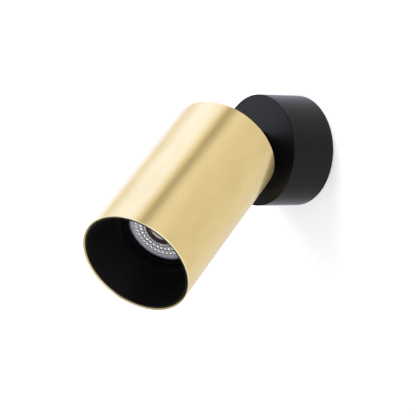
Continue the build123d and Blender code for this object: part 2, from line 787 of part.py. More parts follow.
def make_lamp_housing():
    lens_r, seat = LENS_D / 2, lamp_face - LENS_T
    housing = turned(
        (0, housing_low),
        (housing_r, housing_low),
        (lamp_r, cone_high),
        (lamp_r, lamp_face),
        (lens_r, lamp_face),
        (lens_r, seat),
        (lens_r - LENS_LEDGE, seat),
        (BOARD_D / 2, board_z),
        (0, board_z),
    )
    groove = Box(2 * FIN_GROOVE_DEPTH, FIN_GROOVE_W, cone_length - 2 * FIN_GROOVE_END)
    middle = Pos((lamp_r + housing_r) / 2, 0, (housing_low + cone_high) / 2) * Rot(0, cone_angle, 0)
    for i in range(FINS):
        housing -= Rot(0, 0, 360 * i / FINS) * middle * groove
    return housing


def make_lamp_lens():
    seat = lamp_face - LENS_T
    lens = rod(LENS_D, seat, lamp_face)
    return lens - rod(LENS_WELL_D, lamp_face - LENS_WELL_DEPTH, lamp_face)


def make_led_board():
    return rod(BOARD_D - 2 * EASY_FIT, board_z, board_z + BOARD_T)


def make_led_chip():
    return rod(CHIP_D, board_z + BOARD_T, board_z + BOARD_T + CHIP_T)


# Anti-glare baffle

cone_slope = (mouth_r - throat_r) / (lip_z - throat_z)
skirt_foot_r = mouth_r - cone_slope * SKIRT_L + BAFFLE_T
lug_high = skirt_low - BESIDE


def make_baffle():
    lip_r = lamp_r + NECK_LIP_GAP
    wall_r = neck_r + BAFFLE_T
    funnel = turned(
        (mouth_r, lip_z),
        (throat_r, throat_z),
        (neck_r, throat_z),
        (neck_r, neck_low + NECK_LIP_T),
        (lip_r, neck_low + NECK_LIP_T),
        (lip_r, neck_low),
        (wall_r, neck_low),
        (wall_r, throat_z),
        (skirt_foot_r, skirt_low),
        (skirt_r, skirt_low),
        (skirt_r, lip_z),
    )
    funnel = fillet(circles_by_height(funnel)[-1], BAFFLE_EDGE)
    inner_edges = [circles.sort_by(SortBy.RADIUS)[0] for circles in circles_by_height(funnel)[1:3]]
    return fillet(inner_edges, THROAT_EDGE)


def make_baffle_springs():
    root_r = neck_r + BAFFLE_T + LEAF_T / 2
    reach_r = sqrt((tube_inner_d / 2 - BESIDE) ** 2 - (LEAF_W / 2) ** 2) - LEAF_T / 2
    bend = throat_z + LEAF_RUN
    line = Polyline(
        (root_r, neck_low + LEAF_ROOT),
        (root_r, throat_z - LEAF_ROOT),
        (reach_r, bend),
        (reach_r - LEAF_TIP_FALL, bend + LEAF_TIP_RUN),
    )
    leaf = extrude(Plane.XZ * trace(line, LEAF_T), LEAF_W / 2, both=True)
    return group(Rot(0, 0, 360 * i / LEAVES) * leaf for i in range(LEAVES))


def make_seat_lugs():
    half = SEAT_LUG_W / 2
    band = ring(tube_inner_d, tube_inner_d - 2 * SEAT_LUG_T, lug_high - SEAT_LUG_H, lug_high)
    lug = band & slab((0, TUBE_D), (-half, half), (lug_high - SEAT_LUG_H, lug_high))
    return group(Rot(0, 0, 360 * (i + 0.5) / LUGS) * lug for i in range(LUGS))


BASE_PIECES = {
    "canopy": make_canopy(),
    "wall_bracket": make_wall_bracket(),
    "canopy_screws": make_canopy_screws(),
    "entry_grommet": make_entry_grommet(),
    "swivel_bush": make_swivel_bush(),
    "stop_peg": make_stop_peg(),
    "earth_lug": make_earth_lug(),
    "earth_washer": make_earth_washer(),
    "earth_screw": make_earth_screw(),
    "terminal_block": make_terminal_block(),
    "terminal_sleeves": make_terminal_sleeves(),
    "terminal_screws": make_terminal_screws(),
    "block_screws": make_block_screws(),
    "live_lead": make_supply_lead(-1),
    "neutral_lead": make_supply_lead(1),
    "earth_lead": make_earth_lead(),
}

STEM_PIECES = {
    "swivel_stem": make_swivel_stem(),
    "face_washer": make_face_washer(),
    "inner_washer": make_inner_washer(),
    "disc_spring": make_disc_spring(),
    "stop_washer": make_stop_washer(),
    "swivel_nut": make_swivel_nut(),
    "stem_cable": make_stem_cable(),
}

HEAD_PIECES = {
    "head_tube": make_head_tube(),
    "rear_cap": make_rear_cap(),
    "yoke": make_yoke(),
    "yoke_screws": make_yoke_screws(),
    "tilt_washers": make_tilt_washers(),
    "tilt_screws": make_tilt_screws(),
    "cable_gland": make_cable_gland(),
    "lamp_frame": make_lamp_frame(),
    "frame_screws": make_frame_screws(),
    "lampholder": make_lampholder(),
    "holder_screws": make_holder_screws(),
    "holder_contacts": make_holder_contacts(),
    "head_cable": make_head_cable(),
    "holder_leads": make_holder_leads(),
    "lamp_base": make_lamp_base(),
    "lamp_pins": make_lamp_pins(),
    "lamp_housing": make_lamp_housing(),
    "lamp_lens": make_lamp_lens(),
    "led_board": make_led_board(),
    "led_chip": make_led_chip(),
    "baffle": make_baffle(),
    "baffle_springs": make_baffle_springs(),
    "seat_lugs": make_seat_lugs(),
}

os.makedirs("parts", exist_ok=True)
for frame, pieces in ((BASE, BASE_PIECES), (STEM, STEM_PIECES), (HEAD, HEAD_PIECES)):
    for name, piece in pieces.items():
        export_step(frame * piece, f"parts/{name}.step")
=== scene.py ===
import json
from math import cos, pi, radians, sin

import bmesh
import bpy
from mathutils import Matrix, Vector


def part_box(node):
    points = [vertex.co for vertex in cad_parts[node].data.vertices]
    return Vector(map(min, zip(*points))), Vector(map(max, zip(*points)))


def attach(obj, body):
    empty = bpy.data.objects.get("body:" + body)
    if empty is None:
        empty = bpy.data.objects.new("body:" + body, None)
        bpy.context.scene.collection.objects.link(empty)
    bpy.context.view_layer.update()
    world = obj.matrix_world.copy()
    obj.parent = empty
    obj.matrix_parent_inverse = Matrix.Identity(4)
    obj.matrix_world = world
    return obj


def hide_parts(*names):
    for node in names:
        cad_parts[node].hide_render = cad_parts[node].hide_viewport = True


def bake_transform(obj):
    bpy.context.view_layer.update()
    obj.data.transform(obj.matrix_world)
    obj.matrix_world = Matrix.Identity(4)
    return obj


# Wall spotlight: the finish of every piece, the lamp's moulded lens and the cable at the tilt joint.
# Lengths are in metres unless a name ends in _MM.

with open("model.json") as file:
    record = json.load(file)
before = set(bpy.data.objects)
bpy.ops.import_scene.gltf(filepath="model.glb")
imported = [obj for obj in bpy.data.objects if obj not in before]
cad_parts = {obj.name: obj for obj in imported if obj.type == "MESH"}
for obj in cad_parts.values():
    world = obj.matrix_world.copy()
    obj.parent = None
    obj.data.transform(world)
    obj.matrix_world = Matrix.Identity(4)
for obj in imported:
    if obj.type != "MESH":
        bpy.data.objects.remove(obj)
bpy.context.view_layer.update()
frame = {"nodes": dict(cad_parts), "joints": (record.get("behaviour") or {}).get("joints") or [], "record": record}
MM = 0.001

# Camera, at the photograph's angle
CAMERA_AZIMUTH = 50.46
CAMERA_ELEVATION = 1.56
CAMERA_ROLL = 0.525
CAMERA_DISTANCE = 1.4593  # from the centre of the canopy's front face
CAMERA_NEAR = 0.01  # nearest distance that it draws
VIEW_RIGHT = -0.03548  # centre of the view from the centre of that face
VIEW_UP = -0.04164
FOCAL_LENGTH_MM = 175.84
SENSOR_MM = 36.0

# White wall and floor, with a glow of their own
WALL_TOP = 0.92
WALL_HALF_WIDTH = 4.0
WALL_GAP = 0.0003  # behind the back face
FLOOR_DROP = 0.60  # below the origin
FLOOR_REACH = 4.0
STUDIO_TONE = (0.88, 0.90, 0.92, 1)
WALL_GLOW = 0.20  # on the object
FLOOR_GLOW = 0.40  # on the object
SEEN_GLOW = 0.35  # of both, for the camera
ROOM_GLOW = 0.24  # from all around, on the object

# Lights: place, target, width and height, and radiance
SOFTBOXES = {
    "overhead_softbox": ((-0.43, 0.0, 1.0), (-0.43, 0.0, 0.0), (0.96, 0.60), 1.7),
    "key_softbox": ((-0.5, -0.8, 1.05), (0.0, -0.05, 0.0), (1.2, 1.2), 4.8),
}
SHEEN_CARD = ((-0.191, -0.215, 0.045), (0.012, -0.037, 0.034), (0.15, 0.10), 2.2)
CARD_TONE = (0.80, 0.79, 1.0)  # of the card in the black paint's sheen

# What mirrors see
WALL_TONE = (0.93, 0.93, 0.95)
NEAR_TONE = (1.03, 1.03, 1.07)  # of the wall straight behind the light
FAR_TONE = (0.73, 0.69, 0.70)  # of the wall far to the right and low down
LOW_TONE = (0.38, 0.39, 0.38)  # straight below
SOFTBOX_TONE = (1.78, 2.03, 3.20)
GAP_TONE = (0.20, 0.13, 0.03)  # of the dark gap beside the softbox
ROOM_TONE = (0.04, 0.04, 0.04)  # in front of the wall, between the lights
BRIGHTEST_TONE = 3.20
# Soft lights in front of the wall: direction, closeness to it where they start and are full, and tone
ROOM_LIGHTS = (
    ((-0.68, -0.72, 0.14), (0.70, 0.97), (0.50, 0.50, 0.54)),
    ((0.24, -0.77, -0.59), (0.70, 0.85), (1.45, 1.43, 1.40)),
    ((-0.46, -0.38, -0.80), (0.86, 0.97), (0.56, 0.62, 0.60)),
    ((0.84, -0.43, -0.32), (0.84, 0.96), (1.00, 1.10, 1.50)),
    ((0.13, -0.97, 0.18), (0.86, 0.96), (0.72, 0.82, 1.12)),
    ((0.82, -0.30, 0.45), (0.88, 0.96), (1.70, 1.70, 1.90)),
)
# Tones above the wall, by the turn from straight up in degrees, to the right in front of the wall
OVERHEAD_TONES = (
    (-180, WALL_TONE),
    (-90, (1.15, 1.23, 1.65)),
    (-71, (1.55, 1.66, 2.30)),
    (-57, (1.20, 1.16, 1.02)),
    (-34, SOFTBOX_TONE),
    (-9, SOFTBOX_TONE),
    (-2, (1.40, 1.25, 0.90)),
    (4, GAP_TONE),
    (8, GAP_TONE),
    (18, (1.28, 1.28, 1.40)),
    (30, (1.15, 1.15, 1.22)),
    (50, WALL_TONE),
)
# Where one tone fades into the next, by the direction's x to the right, y to the wall and z up
NEAR_FADE_X = (0.50, 0.15)
FAR_FADE_X = (0.55, 0.80)
FAR_FADE_Z = (-0.30, -0.60)
LOW_FADE_Z = (-0.70, -0.85)
WALL_FADE_Y = (0.36, 0.46)  # from what is overhead to the wall
WALL_LEAN = 0.4  # of that border, to the left of the middle
ROOM_FADE_Y = (-0.05, -0.30)  # from the wall to the room in front of it
ROOM_LEAN = 1.6  # of that border, on the far left
ROOM_LEAN_X = 0.8  # how far left that lean starts

# Satin gold
GOLD_TONES = ((0.800, 0.634, 0.284), (0.862, 0.692, 0.324))  # darker and paler
GOLD_ROUGHNESS = 0.18
LACQUER_WEIGHT = 0.8
LACQUER_ROUGHNESS = 0.15
GRAIN_SCALE = 2600.0
GRAIN_STRETCH = (1, 1, 0.02)  # along the tube
GRAIN_SHARE = 0.2  # of the tone, with the clouding for the rest
GRAIN_ROUGHNESS = 0.02  # that the grain adds
CLOUD_SCALE = 85.0
CLOUD_STRETCH = (1, 1, 0.3)
CLOUD_FADE = (0.30, 0.70)
CLOUD_ROUGHNESS = 0.03  # that the clouding adds
HAZE_SHARE = 0.55  # of a second, broader sheen
HAZE_ROUGHNESS = 0.66

# Painted highlight: paler gold on the outer corner at the gold tube's front, for light caught by a rounded edge
CORNER_HIGHLIGHT_TONE = (0.99, 0.90, 0.58)
CORNER_LENGTH = 0.8 * MM
CORNER_WIDTH = 0.35 * MM
CORNER_BLUR = 0.05 * MM

# Baked paints: darker and paler tone, roughness, height of the orange peel in millimetres, and gloss
PAINTS = {
    "satin_black": ((0.0026, 0.0025, 0.0028), (0.0042, 0.0041, 0.0046), 0.38, 0.012, 0.21),
    "matt_black": ((0.0026, 0.0025, 0.0027), (0.0044, 0.0042, 0.0046), 0.50, 0.010, 0.13),
    "black_screw": ((0.010, 0.010, 0.011), (0.020, 0.020, 0.021), 0.35, 0.006, 0.5),
}
PAINT_SHEEN_TONE = (1.0, 0.97, 0.92, 1)

# Bare metals: darker and paler tone, and roughness
METALS = {
    "zinc_steel": ((0.52, 0.53, 0.54), (0.66, 0.67, 0.69), 0.34),
    "spring_steel": ((0.36, 0.36, 0.37), (0.46, 0.46, 0.48), 0.28),
    "bare_aluminium": ((0.66, 0.66, 0.67), (0.76, 0.76, 0.77), 0.40),
    "tinned_copper": ((0.60, 0.58, 0.55), (0.72, 0.71, 0.69), 0.30),
    "terminal_brass": ((0.60, 0.44, 0.18), (0.76, 0.59, 0.29), 0.30),
    "lamp_aluminium": ((0.030, 0.030, 0.032), (0.045, 0.045, 0.048), 0.45),
}
METAL_GRAIN_MM = 0.006  # height of the rolled grain

# Mouldings of plastic, rubber and ceramic: darker and paler tone, roughness and, where it isn't the usual
# one, the height of the tool texture in millimetres
TOOL_TEXTURE_MM = 0.010
MOULDINGS = {
    "nylon": ((0.020, 0.020, 0.021), (0.032, 0.032, 0.033), 0.48),
    "black_rubber": ((0.013, 0.013, 0.013), (0.024, 0.024, 0.024), 0.68, 0.025),
    "black_sheath": ((0.013, 0.013, 0.014), (0.022, 0.022, 0.023), 0.55),
    "white_plastic": ((0.74, 0.74, 0.70), (0.82, 0.82, 0.79), 0.40),
    "brown_insulation": ((0.13, 0.050, 0.022), (0.18, 0.075, 0.035), 0.42),
    "blue_insulation": ((0.018, 0.075, 0.33), (0.030, 0.105, 0.42), 0.42),
    "white_insulation": ((0.70, 0.70, 0.68), (0.80, 0.80, 0.78), 0.45),
    "holder_ceramic": ((0.78, 0.76, 0.70), (0.86, 0.85, 0.80), 0.22, 0.006),
    "lamp_plastic": ((0.72, 0.72, 0.71), (0.80, 0.80, 0.79), 0.38),
    "white_board": ((0.78, 0.78, 0.76), (0.86, 0.86, 0.84), 0.35),
    "led_phosphor": ((0.72, 0.50, 0.06), (0.82, 0.62, 0.10), 0.30),
}

# Striped insulation of the earth core
EARTH_GREEN = (0.05, 0.28, 0.06)
EARTH_YELLOW = (0.72, 0.60, 0.05)
EARTH_ROUGHNESS = 0.42
STRIPE_TURN = 35  # degrees
STRIPE_SCALE = 160.0
STRIPE_WAVER = 0.4
STRIPE_EDGE = (0.55, 0.65)

# Moulded lens of the lamp: radii and heights in millimetres
LENS_BAND_MM = (20.2, 22.9)  # plain outer band
LENS_EDGE_FALL_MM = 0.5  # slope from the band to the lens's dark edge
LENS_DISH_MM = 0.45  # depth of the faceted dish
LENS_STEP_MM = 0.3
LENS_RIDGE_MM = 11.7  # thin ridge round the well
LENS_WELL_MM = 10.6
LENS_WELL_DEPTH_MM = 2.0
LENS_EYE_MM = 6.8
LENS_EYE_SIDE_MM = 1.5  # height of the eye's straight side
LENS_EYE_DOME_MM = 0.5
LENS_SEGMENTS = 128
EYE_STEPS = 8
# Its finish
LENS_GLOSS = 0.6
LENS_ROUGHNESS = 0.22
FROST_ROUGHNESS = 0.12  # that the light frosting adds
FROST_MM = 0.004  # height of the frosting
EYE_TONE = (0.70, 0.64, 0.61, 1)
WELL_TONE = (0.062, 0.049, 0.047, 1)
RIDGE_TONE = (0.42, 0.41, 0.41, 1)
GROOVE_TONE = (0.16, 0.17, 0.21, 1)
DISH_TONE = (0.70, 0.68, 0.66, 1)
BAND_TONE = (0.84, 0.85, 0.90, 1)
# Painted shade: the band darkens from here out to the lens's edge, deep in the recess
FADING_SHADE_TONE = (0.58, 0.59, 0.64, 1)
SHADE_TONE = (0.27, 0.27, 0.30, 1)
EDGE_SHADE_TONE = (0.016, 0.016, 0.017, 1)
# Each ring of facets: its radius, count, half length along the radius and half width
FACET_RINGS = {
    "Outer": (18.8, 38, 1.25, 1.45),
    "Middle": (15.4, 32, 1.75, 1.42),
    "Inner": (11.7, 32, 0.85, 1.05),
}
FACET_SIZES = ("Radius", "Count", "Length", "Width")
FACET_RISE_MM = 0.70
FACET_SEGMENTS = 12
FACET_STEPS = 8
FACET_TONES = ((0.80, 0.86, 0.97), (1.0, 0.92, 0.80))  # cooler and warmer
FACET_METAL = 0.8
FACET_ROUGHNESS = 0.06
SPARK_ROUGHNESS = 0.10  # that the warmer spots add

# Cable at the tilt joint
CABLE_ROUNDING = 6  # steps in the rounding of the cable's section
CABLE_STEPS = 24


def joint(name):
    """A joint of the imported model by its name."""
    return next(j for j in frame["joints"] if j["name"] == name)


# The head's own axes: x along the tilt axis, z out of the mouth, origin on the tilt axis
PIVOT = Vector(joint("head_tilt")["pos_m"])
HEAD_X = Vector(joint("head_tilt")["axis"]).normalized()
HEAD_Z = Vector(joint("baffle_pull")["axis"]).normalized()
HEAD_Y = HEAD_Z.cross(HEAD_X)
HEAD = Matrix.Translation(PIVOT) @ Matrix((HEAD_X, HEAD_Y, HEAD_Z)).transposed().to_4x4()
TO_HEAD = HEAD.inverted()
OUTWARD = Vector((0, -1, 0))


def reach(node, origin, axis):
    """Lowest and highest distance of a CAD node along an axis."""
    along = [(v.co - origin).dot(axis) for v in frame["nodes"][node].data.vertices]
    return min(along), max(along)


def girth(node):
    """Largest distance of a head node from the head's axis."""
    return max((TO_HEAD @ v.co).xy.length for v in frame["nodes"][node].data.vertices)


LENS_OUTER_MM = girth("lamp_lens") / MM
LENS_BACK, LENS_FACE = reach("lamp_lens", PIVOT, HEAD_Z)
LENS_SEAT = LENS_FACE - LENS_DISH_MM * MM


# Node graphs


class Signal:
    """A socket whose sums, differences and products add Math nodes."""

    def __init__(self, graph, socket):
        self.graph = graph
        self.socket = socket

    def __add__(self, other):
        return self.graph.math("ADD", self, other)

    def __sub__(self, other):
        return self.graph.math("SUBTRACT", self, other)

    def __rsub__(self, other):
        return self.graph.math("SUBTRACT", other, self)

    def __mul__(self, other):
        return self.graph.math("MULTIPLY", self, other)

    __radd__ = __add__
    __rmul__ = __mul__


class Graph:
    """A node tree with one way to add a node."""

    def __init__(self, tree):
        self.tree = tree

    def node(self, kind, settings=None, sockets=None, out=0):
        made = self.tree.nodes.new(kind)
        for key, value in (settings or {}).items():
            if key == "stops":
                self.set_stops(made.color_ramp, value)
            else:
                setattr(made, key, value)
        for key, value in (sockets or {}).items():
            if isinstance(value, Signal):
                self.tree.links.new(value.socket, made.inputs[key])
            else:
                made.inputs[key].default_value = value
        return Signal(self, made.outputs[out]) if made.outputs else made

    def math(self, operation, *terms):
        return self.node("ShaderNodeMath", {"operation": operation}, dict(enumerate(terms)))

    def fade(self, value, start, end):
        """Smooth step from 0 to 1 between two values."""
        settings = {"interpolation_type": "SMOOTHSTEP"}
        return self.node("ShaderNodeMapRange", settings, {0: value, 1: start, 2: end})

    def along(self, vector, direction):
        """Length of a vector along a direction."""
        settings = {"operation": "DOT_PRODUCT"}
        return self.node("ShaderNodeVectorMath", settings, {0: vector, 1: direction}, out="Value")

    def shade(self, mask, low, high):
        """Colour between two colours."""
        low, high = (end if isinstance(end, Signal) else (*end, 1) for end in (low, high))
        return self.node("ShaderNodeMix", {"data_type": "RGBA"}, {0: mask, 6: low, 7: high}, out=2)

    @staticmethod
    def set_stops(ramp, stops):
        while len(ramp.elements) < len(stops):
            ramp.elements.new(1.0)
        for element, (position, colour) in zip(ramp.elements, stops):
            element.position = position
            element.color = colour


class Finish(Graph):
    """A material on the Principled shader, read in Object coordinates."""

    def __init__(self, name, **constants):
        self.material = bpy.data.materials.new(name)
        self.material.use_nodes = True
        super().__init__(self.material.node_tree)
        self.tree.nodes.clear()
        shader = self.node("ShaderNodeBsdfPrincipled")
        self.shader = shader.socket.node
        self.output = self.node("ShaderNodeOutputMaterial", None, {"Surface": shader})
        self.place = self.node("ShaderNodeTexCoord", out="Object")
        for key, value in constants.items():
            self.set(key.replace("_", " "), value)

    def set(self, socket, value):
        if isinstance(value, Signal):
            self.tree.links.new(value.socket, self.shader.inputs[socket])
        else:
            self.shader.inputs[socket].default_value = value

    def turned(self, matrix, stretch=(1, 1, 1)):
        """Coordinates along another set of axes, then stretched."""
        turn = {"Location": matrix.to_translation(), "Rotation": matrix.to_euler(), "Vector": self.place}
        local = self.node("ShaderNodeMapping", None, turn)
        return self.node("ShaderNodeMapping", None, {"Vector": local, "Scale": stretch})

    def head_radius(self):
        """Distance from the head's axis."""
        flat = self.turned(TO_HEAD, (1, 1, 0))
        return self.node("ShaderNodeVectorMath", {"operation": "LENGTH"}, {0: flat}, out="Value")

    def noise(self, scale, detail=2.0, vector=None):
        sockets = {"Vector": vector or self.place, "Scale": scale, "Detail": detail}
        return self.node("ShaderNodeTexNoise", None, sockets)

    def haze(self, sockets, weight):
        """A second, broader sheen over part of the first."""
        broad = self.node("ShaderNodeBsdfPrincipled", None, sockets)
        first = Signal(self, self.shader.outputs[0])
        both = self.node("ShaderNodeMixShader", None, {0: weight, 1: first, 2: broad})
        self.tree.links.new(both.socket, self.output.inputs["Surface"])

    def bump(self, height, distance):
        self.set("Normal", self.node("ShaderNodeBump", None, {"Height": height, "Distance": distance}))


def swing(noise, width):
    """A noise as a swing either way from nothing."""
    return width * (noise - 0.5)


# Finishes


def satin_gold(name):
    """Brass-coloured tube with a fine satin grain along its length, and a painted highlight of paler gold on the
    outer corner at its mouth.
    """
    finish = Finish(name, Metallic=1.0, Coat_Weight=LACQUER_WEIGHT, Coat_Roughness=LACQUER_ROUGHNESS)
    inner = girth("head_tube") - CORNER_WIDTH
    low = reach("head_tube", PIVOT, HEAD_Z)[1] - CORNER_LENGTH
    height = finish.along(finish.place, HEAD_Z) - PIVOT.dot(HEAD_Z)
    outside = finish.fade(finish.head_radius(), inner - CORNER_BLUR, inner)
    corner = outside * finish.fade(height, low - CORNER_BLUR, low)
    grain = finish.noise(GRAIN_SCALE, vector=finish.turned(TO_HEAD, GRAIN_STRETCH))
    patches = finish.noise(CLOUD_SCALE, vector=finish.turned(TO_HEAD, CLOUD_STRETCH))
    cloud = finish.fade(patches, *CLOUD_FADE)
    tone = finish.shade(GRAIN_SHARE * grain + (1 - GRAIN_SHARE) * cloud, *GOLD_TONES)
    # painted highlight: paler gold along the outer corner of the mouth
    tone = finish.shade(corner, tone, CORNER_HIGHLIGHT_TONE)
    finish.set("Base Color", tone)
    finish.set("Roughness", GOLD_ROUGHNESS + GRAIN_ROUGHNESS * grain + CLOUD_ROUGHNESS * cloud)
    finish.haze({"Base Color": tone, "Metallic": 1.0, "Roughness": HAZE_ROUGHNESS}, HAZE_SHARE)
    return finish.material


def painted(name, low, high, roughness, peel_mm, gloss):
    """Baked paint with a fine orange-peel texture."""
    finish = Finish(name, Specular_IOR_Level=gloss, Specular_Tint=PAINT_SHEEN_TONE)
    texture = finish.noise(scale=1400.0, detail=3.0)
    cloud = finish.noise(scale=30.0)
    finish.set("Base Color", finish.shade(texture, low, high))
    finish.set("Roughness", roughness + swing(texture, width=0.08) + swing(cloud, width=0.06))
    finish.bump(texture, peel_mm * MM)
    return finish.material


def metal(name, low, high, roughness):
    """Plain metal with a fine rolled grain and a slow change of tone."""
    finish = Finish(name, Metallic=1.0)
    grain = finish.noise(scale=700.0, detail=4.0, vector=finish.turned(Matrix(), (1, 1, 0.12)))
    cloud = finish.noise(scale=60.0, detail=3.0)
    finish.set("Base Color", finish.shade(cloud, low, high))
    finish.set("Roughness", roughness + swing(grain, width=0.16) + swing(cloud, width=0.08))
    finish.bump(grain, METAL_GRAIN_MM * MM)
    return finish.material


def moulded(name, low, high, roughness, texture_mm=TOOL_TEXTURE_MM):
    """Moulding with a fine tool texture."""
    finish = Finish(name)
    fine = finish.noise(scale=1100.0)
    cloud = finish.noise(scale=45.0)
    finish.set("Base Color", finish.shade(cloud, low, high))
    finish.set("Roughness", roughness + swing(fine, width=0.14))
    finish.bump(fine, texture_mm * MM)
    return finish.material


def striped_insulation(name):
    """Green insulation with a yellow stripe along the core."""
    finish = Finish(name, Roughness=EARTH_ROUGHNESS)
    slanted = finish.turned(Matrix.Rotation(radians(STRIPE_TURN), 4, "Y"))
    wave = {"Vector": slanted, "Scale": STRIPE_SCALE, "Distortion": STRIPE_WAVER}
    stripe = finish.node("ShaderNodeTexWave", None, wave)
    start, end = STRIPE_EDGE
    edge = finish.node("ShaderNodeMapRange", None, {0: stripe, 1: start, 2: end})
    finish.set("Base Color", finish.shade(edge, EARTH_GREEN, EARTH_YELLOW))
    return finish.material


def clear_lens(name):
    """Moulded lens over the lamp's reflector, in zones by distance from its axis, with painted shade darkening its
    outer band towards the edge.
    """
    finish = Finish(name, Specular_IOR_Level=LENS_GLOSS)
    # Where each tone is reached, in millimetres from the axis
    zones = (
        (LENS_EYE_MM - 0.6, EYE_TONE),
        (LENS_EYE_MM + 0.5, WELL_TONE),
        (LENS_WELL_MM - 0.3, WELL_TONE),
        (LENS_RIDGE_MM - 0.4, RIDGE_TONE),
        (LENS_RIDGE_MM + 0.4, RIDGE_TONE),
        (LENS_RIDGE_MM + 1.2, GROOVE_TONE),
        (LENS_RIDGE_MM + 2.2, DISH_TONE),
        (LENS_BAND_MM[0] - 1.8, DISH_TONE),
        (LENS_BAND_MM[0] - 0.9, BAND_TONE),
        # painted shade from here out to the edge
        (LENS_BAND_MM[0] + 0.5, FADING_SHADE_TONE),
        (LENS_BAND_MM[1] - 1.2, FADING_SHADE_TONE),
        (LENS_BAND_MM[1], SHADE_TONE),
        (LENS_OUTER_MM - 0.1, EDGE_SHADE_TONE),
    )
    stops = [(zone_mm / LENS_OUTER_MM, tone) for zone_mm, tone in zones]
    radius_share = finish.head_radius() * (1 / (LENS_OUTER_MM * MM))
    finish.set("Base Color", finish.node("ShaderNodeValToRGB", {"stops": stops}, {"Fac": radius_share}))
    frost = finish.noise(scale=500.0)
    finish.set("Roughness", LENS_ROUGHNESS + FROST_ROUGHNESS * frost)
    finish.bump(frost, FROST_MM * MM)
    return finish.material


def lens_facets(name):
    """Bright facets of the lens."""
    finish = Finish(name, Metallic=FACET_METAL)
    spark = finish.noise(scale=300.0, detail=1.0)
    finish.set("Base Color", finish.shade(spark, *FACET_TONES))
    finish.set("Roughness", FACET_ROUGHNESS + SPARK_ROUGHNESS * spark)
    return finish.material


def make_materials():
    """The material of each slot, by the slot's name."""
    made = {
        "satin_gold": satin_gold("satin_gold"),
        "green_insulation": striped_insulation("green_insulation"),
        "clear_lens": clear_lens("clear_lens"),
    }
    for maker, kinds in ((painted, PAINTS), (metal, METALS), (moulded, MOULDINGS)):
        made.update({name: maker(name, *settings) for name, settings in kinds.items()})
    return made


materials = make_materials()


def dress_nodes():
    for part in frame["record"]["subparts"]:
        slots = frame["nodes"][part["node"]].data.materials
        slots.clear()
        slots.append(materials[part["material_slot"]])


# Pieces


def linked(name, data):
    """New object in the scene."""
    made = bpy.data.objects.new(name, data)
    bpy.context.scene.collection.objects.link(made)
    return made


def new_piece(name, mesh, material, body):
    """Piece of the object, on a body if one is given."""
    piece = linked(name, mesh)
    if material.name not in mesh.materials:
        mesh.materials.append(material)
    if body:
        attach(piece, body)
    return piece


def plain_mesh(carrier):
    """Mesh of an object that is there only to make it."""
    name = carrier.name
    evaluated = carrier.evaluated_get(bpy.context.evaluated_depsgraph_get())
    mesh = bpy.data.meshes.new_from_object(evaluated)
    bpy.data.objects.remove(carrier)
    mesh.name = name
    return mesh


def turned_mesh(name, profile, segments, matrix):
    """Closed mesh turned about the local z axis from (radius, height) points that start and end on it."""
    shape = bmesh.new()
    rings = []
    for radius, height in profile:
        count = segments if radius > 0 else 1
        angles = [2 * pi * i / segments for i in range(count)]
        rings.append([shape.verts.new((radius * cos(a), radius * sin(a), height)) for a in angles])
    for low, high in zip(rings, rings[1:]):
        for i in range(segments):
            lower = [low[i % len(low)], low[(i + 1) % len(low)]]
            upper = [high[(i + 1) % len(high)], high[i % len(high)]]
            shape.faces.new(dict.fromkeys(lower + upper))
    bmesh.ops.recalc_face_normals(shape, faces=shape.faces)
    mesh = bpy.data.meshes.new(name)
    shape.to_mesh(mesh)
    shape.free()
    mesh.transform(matrix)
    return mesh


def make_lens():
    """Moulded lens: plain outer band, faceted dish, dark well and a domed eye in its middle."""
    step, well, eye = LENS_STEP_MM * MM, LENS_WELL_MM * MM, LENS_EYE_MM * MM
    band_in, band_out = (radius_mm * MM for radius_mm in LENS_BAND_MM)
    edge = LENS_OUTER_MM * MM
    well_floor = LENS_FACE - LENS_WELL_DEPTH_MM * MM
    profile = [
        (0, LENS_BACK),
        (edge, LENS_BACK),
        (edge, LENS_FACE - LENS_EDGE_FALL_MM * MM),
        (band_out, LENS_FACE),
        (band_in, LENS_FACE),
        (band_in - step, LENS_SEAT),
        (well, LENS_SEAT),
        (well - step / 2, well_floor),
        (eye, well_floor),
    ]
    shoulder, dome = well_floor + LENS_EYE_SIDE_MM * MM, LENS_EYE_DOME_MM * MM
    for turn in (radians(90) * part / EYE_STEPS for part in range(EYE_STEPS)):
        profile.append((eye * cos(turn), shoulder + dome * sin(turn)))
    profile.append((0, shoulder + dome))
    mesh = turned_mesh("lamp_optic", profile, LENS_SEGMENTS, HEAD)
    piece = new_piece("lamp_optic", mesh, materials["clear_lens"], "lamp")
    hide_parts("lamp_lens")


